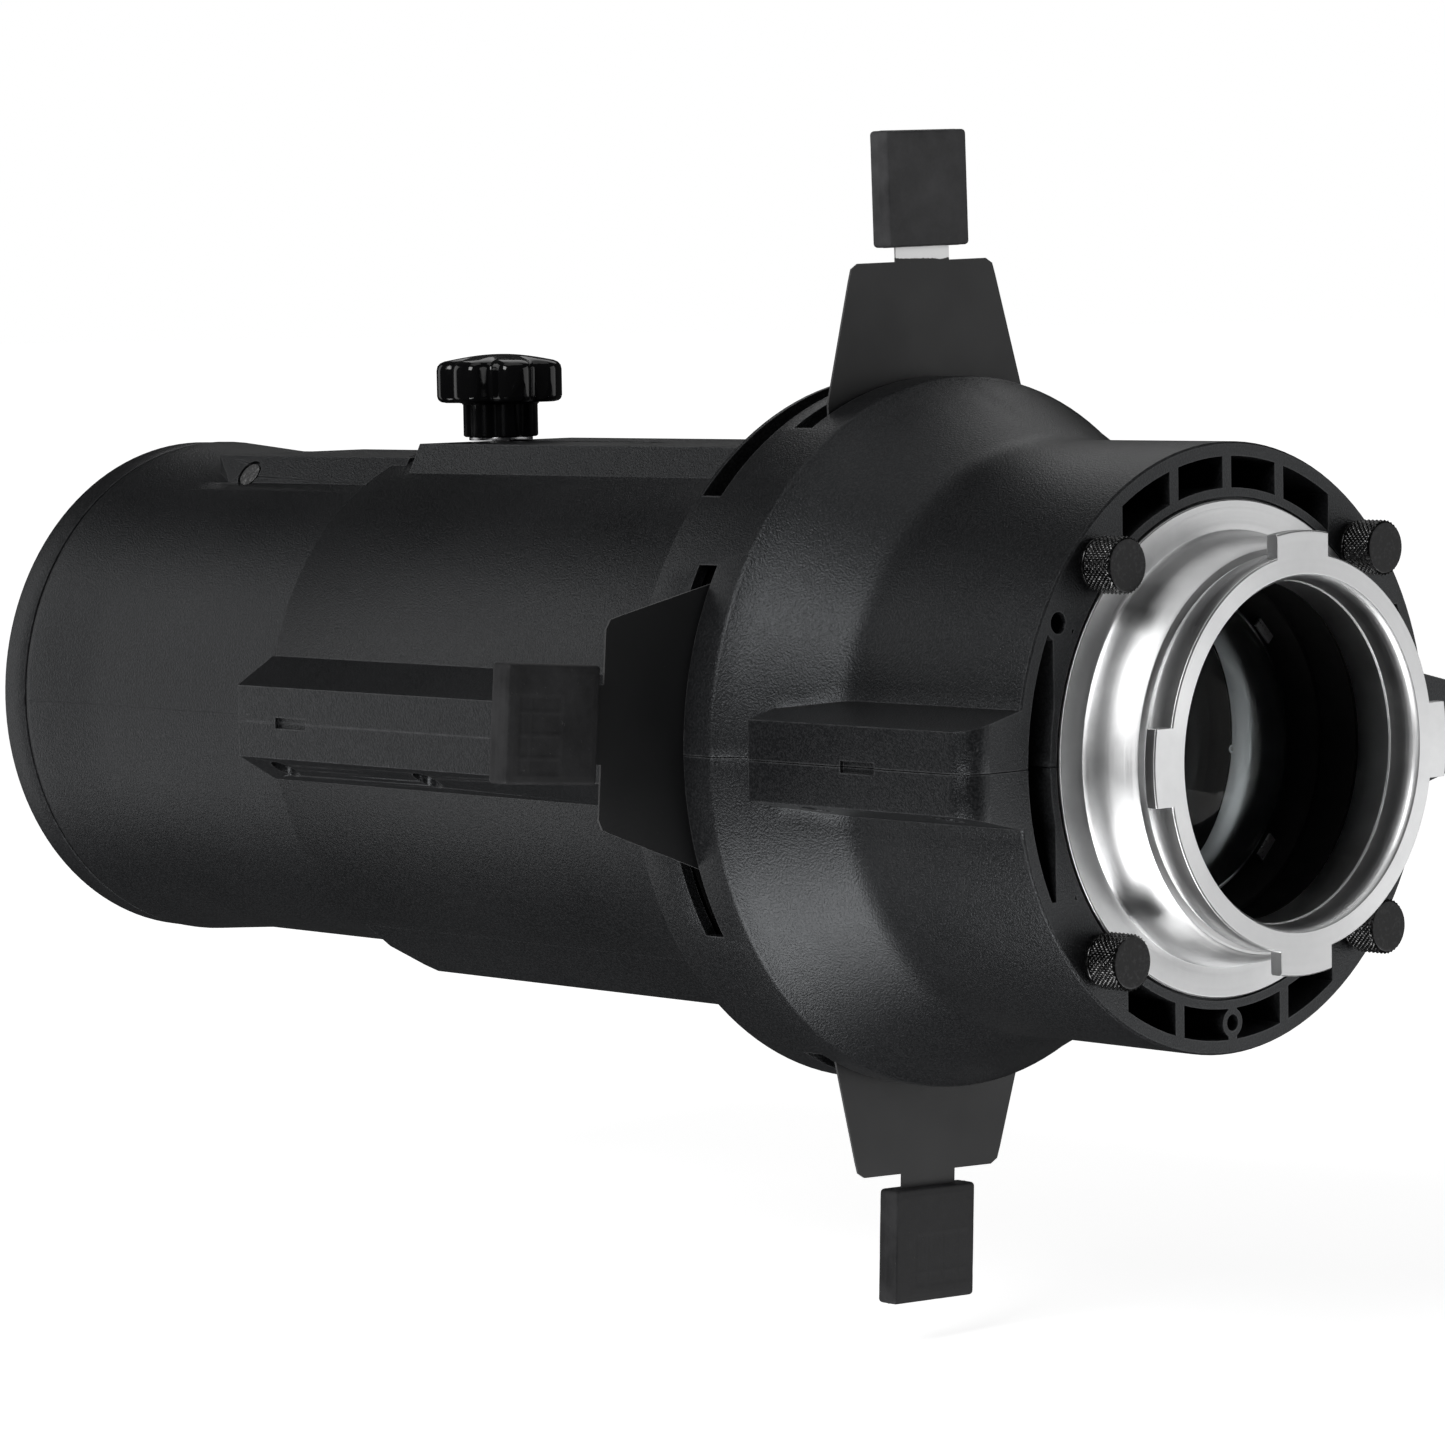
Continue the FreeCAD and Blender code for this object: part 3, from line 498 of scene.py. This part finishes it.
def lobed_knob(low, high):
    """Star knob: seven round lobes on a domed head, and a fluted hub below it."""
    centre = Vector(((low[0] + high[0]) / 2, (low[1] + high[1]) / 2, 0.0))
    base, top = low[2], high[2]
    head_low = base + HEAD_FLOOR
    head_high = base + HEAD_SHOULDER
    reach = (high[0] - low[0]) / 2
    around = LOBES * LOBE_POINTS

    def ring(z, inset, depth, radius):
        points = []
        for index in range(around):
            angle = 2 * math.pi * index / around + FIRST_ANGLE
            valley = (0.5 - 0.5 * math.cos(LOBES * (angle - VALLEY_ANGLE))) ** VALLEY_SHARPNESS
            length = radius - inset - depth * valley
            points.append((centre.x + length * math.cos(angle), centre.y + length * math.sin(angle), z))
        return points

    def maker(work):
        rings = []
        for level, radius, rows in ((base, HUB_RADIUS, HUB_FOOT), (head_low, HUB_RADIUS, HUB_NECK),
                                    (head_low, reach, LOWER_EDGE), (head_high, reach, UPPER_EDGE)):
            rings += [ring(level + rise, inset, depth, radius) for rise, inset, depth in rows]
        edge_rise, edge_inset, edge_depth = UPPER_EDGE[-1]
        dome_rise = top - head_high - edge_rise
        dome_reach = reach - edge_inset - CENTRE_RADIUS
        for step in range(1, DOME_STEPS + 1):
            part = step / DOME_STEPS
            z = head_high + edge_rise + dome_rise * math.sin(part * math.pi / 2)
            rings.append(ring(z, edge_inset + dome_reach * part, edge_depth * (1 - part) ** 1.5, reach))
        skin_rings(work, rings)

    return maker


def make_star_knob():
    low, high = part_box("focus_knob")
    new_piece("star_knob", lobed_knob(low, high), "knob_black", "focus_handle", "focus_knob")


make_thumb_screws()
make_star_knob()


# ------------------------------------------------------------------- grips
GRIP_HALF = Vector((0.0173, 0.0041, 0.0176))
GRIP_ROUND = 0.0013
GRIP_STEP = 0.0006
RIDGE_HEIGHT = 0.00016
RIDGE_PLACE, RIDGE_HALF = 0.0002, 0.00045
BORDER_DEPTH = 0.00010
BORDER_START, BORDER_END = 0.0019, 0.0023
MARK_DEPTH = 0.00022
MARK_ACROSS, MARK_OUTWARD = (-0.0085, 0.0140), (-0.0030, 0.0125)
MARK_EDGE = 0.0005
MARK_RIBS, MARK_RIB_HALF = (-0.0035, 0.0030, 0.0095), 0.0007
MARK_BAR, MARK_BAR_HALF = 0.0085, 0.0008
# depth and scale of the skin's unevenness
SKIN_WAVES = ((0.00006, 140.0), (0.00004, 420.0))


def smooth_step(low, high, value):
    """0 below low, 1 above high, with a smooth rise between them."""
    part = min(1.0, max(0.0, (value - low) / (high - low)))
    return part * part * (3 - 2 * part)


def band(value, centre, half):
    """1 on a line at centre, fading to 0 at half from it."""
    return 1 - smooth_step(0.0, half, abs(value - centre))


def within(value, limits):
    """1 between two limits, with a smooth change of MARK_EDGE at each."""
    low, high = limits
    return smooth_step(low, low + MARK_EDGE, value) * (1 - smooth_step(high, high + MARK_EDGE, value))


def sink_marks(across, outward):
    """Depth from 0 to 1 of the faint marks that the moulding leaves over the blade's windows."""
    inside = within(across, MARK_ACROSS) * within(outward, MARK_OUTWARD)
    ribs = max(band(across, place, MARK_RIB_HALF) for place in MARK_RIBS)
    bar = band(outward, MARK_BAR, MARK_BAR_HALF)
    return inside * (1 - 0.9 * max(ribs, 0.7 * bar))


def grip_surface(point, marks):
    """Moves a point of the plain block onto the moulded surface of the grip."""
    half = GRIP_HALF - Vector((RIDGE_HEIGHT,) * 3)
    flat = Vector(tuple(min(h, max(-h, v)) for v, h in zip(point, half)))
    core = Vector(tuple(min(h - GRIP_ROUND, max(GRIP_ROUND - h, v)) for v, h in zip(flat, half)))
    away = flat - core
    if away.length < 1e-9:
        return flat
    away.normalize()
    skin = core + away * GRIP_ROUND
    wave = sum(depth * noise_value(skin * scale) for depth, scale in SKIN_WAVES)
    side = 1 - smooth_step(0.5, 0.9, abs(away.y))
    lift = RIDGE_HEIGHT * band(skin.y, RIDGE_PLACE, RIDGE_HALF) * side
    if abs(away.y) > 0.9:
        border = min(half.x - abs(skin.x), half.z - abs(skin.z))
        lift -= BORDER_DEPTH * (1 - smooth_step(BORDER_START, BORDER_END, border))
        lift -= MARK_DEPTH * marks * sink_marks(skin.x, skin.z)
    return skin + away * (lift + min(0.0, wave))


def grip_maker(centre, outward, marks):
    """A soft moulded block; outward is the way that its blade pulls out."""
    along = Vector((0.0, 1.0, 0.0))
    across = along.cross(outward).normalized()
    counts = [max(2, round(2 * h / GRIP_STEP)) for h in GRIP_HALF]

    def maker(work):
        made = {}

        def corner(key):
            if key not in made:
                plain = Vector(tuple(h * (2 * k / n - 1) for k, n, h in zip(key, counts, GRIP_HALF)))
                spot = grip_surface(plain, marks)
                made[key] = work.verts.new(centre + across * spot.x + along * spot.y + outward * spot.z)
            return made[key]

        for fixed in range(3):
            first, second = [axis for axis in range(3) if axis != fixed]
            for level in (0, counts[fixed]):
                for i in range(counts[first]):
                    for j in range(counts[second]):
                        keys = []
                        for di, dj in ((0, 0), (1, 0), (1, 1), (0, 1)):
                            key = [0, 0, 0]
                            key[fixed], key[first], key[second] = level, i + di, j + dj
                            keys.append(tuple(key))
                        work.faces.new([corner(key) for key in keys])

    return maker


GRIP_MARKS = {"top": 0.15, "near": 1.0, "bottom": 0.8, "far": 0.6}


def make_grips():
    """A grip on each blade; the strength of its sink marks differs from grip to grip."""
    slides = {joint["name"]: Vector(joint["axis"]) for joint in frame["joints"]}
    for side, marks in GRIP_MARKS.items():
        node = "shutter_grip_" + side
        low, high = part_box(node)
        centre = (Vector(low) + Vector(high)) / 2
        outward = slides[side + "_blade_slide"].normalized()
        maker = grip_maker(centre, outward, marks)
        new_piece("soft_grip_" + side, maker, "grip_black", "blade_" + side, node)


make_grips()


# -------------------------------------------------------- floor, light, camera
WHITE = (1.0, 1.0, 1.0)
FLOOR_SIZE = 40.0
FLOOR_REACH, FLOOR_GLOW = (0.6, 4.0), (0.78, 1.05)      # the glow grows over this reach
ROOM_STRENGTH = 0.025


def make_floor(height):
    """A pale floor that only the camera sees, so the dark parts mirror none of it."""
    mesh = bpy.data.meshes.new("floor")
    work = bmesh.new()
    bmesh.ops.create_grid(work, x_segments=2, y_segments=2, size=FLOOR_SIZE)
    work.to_mesh(mesh)
    work.free()
    floor = bpy.data.objects.new("floor", mesh)
    floor.location = (0, 0, height)
    made, shader = material("floor_paint", (0.85, 0.85, 0.85), 0.9, specular=0.0)
    shader.inputs["Emission Color"].default_value = (*WHITE, 1.0)
    reach = add(made, "ShaderNodeVectorMath", operation="LENGTH")
    link(made, place_of(made), reach.inputs[0])
    glow = remap(made, reach.outputs["Value"], *FLOOR_REACH, *FLOOR_GLOW)
    link(made, glow, shader.inputs["Emission Strength"])
    mesh.materials.append(made)
    floor.visible_diffuse = False
    floor.visible_glossy = False
    floor.visible_transmission = False
    floor.visible_shadow = False
    bpy.context.scene.collection.objects.link(floor)


SOFTBOXES = (
    # name, place, width and height, radiance
    ("right_rear", (-1.4, 1.5, 0.2), (2.4, 2.2), 0.8),
    ("low_rear", (-1.2, 1.5, -1.3), (1.8, 1.0), 2.2),
    ("key", (1.55, 0.1, 1.1), (0.9, 0.9), 6.0),
    ("left_front", (0.85, -1.85, 0.1), (1.0, 2.6), 0.95),
    ("right_front", (-1.3, -1.2, 1.7), (1.6, 1.6), 0.8),
    ("overhead", (0.0, -0.1, 1.9), (1.4, 1.4), 0.5),
    ("low_fill", (0.95, 0.05, -1.3), (1.2, 1.2), 5.0),
)
LIT_POINT = (0.0, -0.2, 0.0)


def make_softbox(name, place, size, radiance):
    """A rectangular light that faces LIT_POINT and that the camera doesn't see."""
    data = bpy.data.lights.new(name, "AREA")
    data.shape = "RECTANGLE"
    data.size, data.size_y = size
    data.energy = radiance * math.pi * size[0] * size[1]
    obj = bpy.data.objects.new(name, data)
    obj.location = place
    obj.rotation_mode = "QUATERNION"
    obj.rotation_quaternion = (Vector(LIT_POINT) - Vector(place)).to_track_quat("-Z", "Y")
    obj.visible_camera = False
    bpy.context.scene.collection.objects.link(obj)


def make_light():
    """Softboxes round a dim room; the camera sees the room as white."""
    world = bpy.data.worlds.new("studio")
    world.use_nodes = True
    tree = world.node_tree
    room = tree.nodes["Background"]
    room.inputs["Color"].default_value = (*WHITE, 1.0)
    room.inputs["Strength"].default_value = ROOM_STRENGTH
    white = tree.nodes.new("ShaderNodeBackground")
    white.inputs["Color"].default_value = (*WHITE, 1.0)
    path = tree.nodes.new("ShaderNodeLightPath")
    choice = tree.nodes.new("ShaderNodeMixShader")
    tree.links.new(path.outputs["Is Camera Ray"], choice.inputs[0])
    tree.links.new(room.outputs[0], choice.inputs[1])
    tree.links.new(white.outputs[0], choice.inputs[2])
    tree.links.new(choice.outputs[0], tree.nodes["World Output"].inputs["Surface"])
    bpy.context.scene.world = world
    for softbox in SOFTBOXES:
        make_softbox(*softbox)


CLIP_NEAR, CLIP_FAR = 0.05, 50.0


def make_camera():
    """The camera stands on the +X side behind the bayonet, and looks a little down."""
    data = bpy.data.cameras.new("camera")
    data.lens = CAMERA_LENS
    data.sensor_width = CAMERA_SENSOR
    data.clip_start = CLIP_NEAR
    data.clip_end = CLIP_FAR
    camera = bpy.data.objects.new("camera", data)
    azimuth, elevation = math.radians(CAMERA_AZIMUTH), math.radians(CAMERA_ELEVATION)
    back = Vector((math.sin(azimuth) * math.cos(elevation), -math.cos(azimuth) * math.cos(elevation),
                   math.sin(elevation)))
    camera.rotation_mode = "QUATERNION"
    level = (-back).to_track_quat("-Z", "Y")
    camera.rotation_quaternion = level @ Quaternion((0, 0, 1), -math.radians(CAMERA_ROLL))
    camera.location = CAMERA_PLACE
    bpy.context.scene.collection.objects.link(camera)
    bpy.context.scene.camera = camera


def plain_colours():
    """Shows the white surroundings as white."""
    settings = bpy.context.scene.view_settings
    settings.view_transform = "Standard"
    settings.look = "None"


soften_cad_nodes()
make_floor(cad_box[0][2] - FLOOR_GAP)
make_light()
make_camera()
plain_colours()
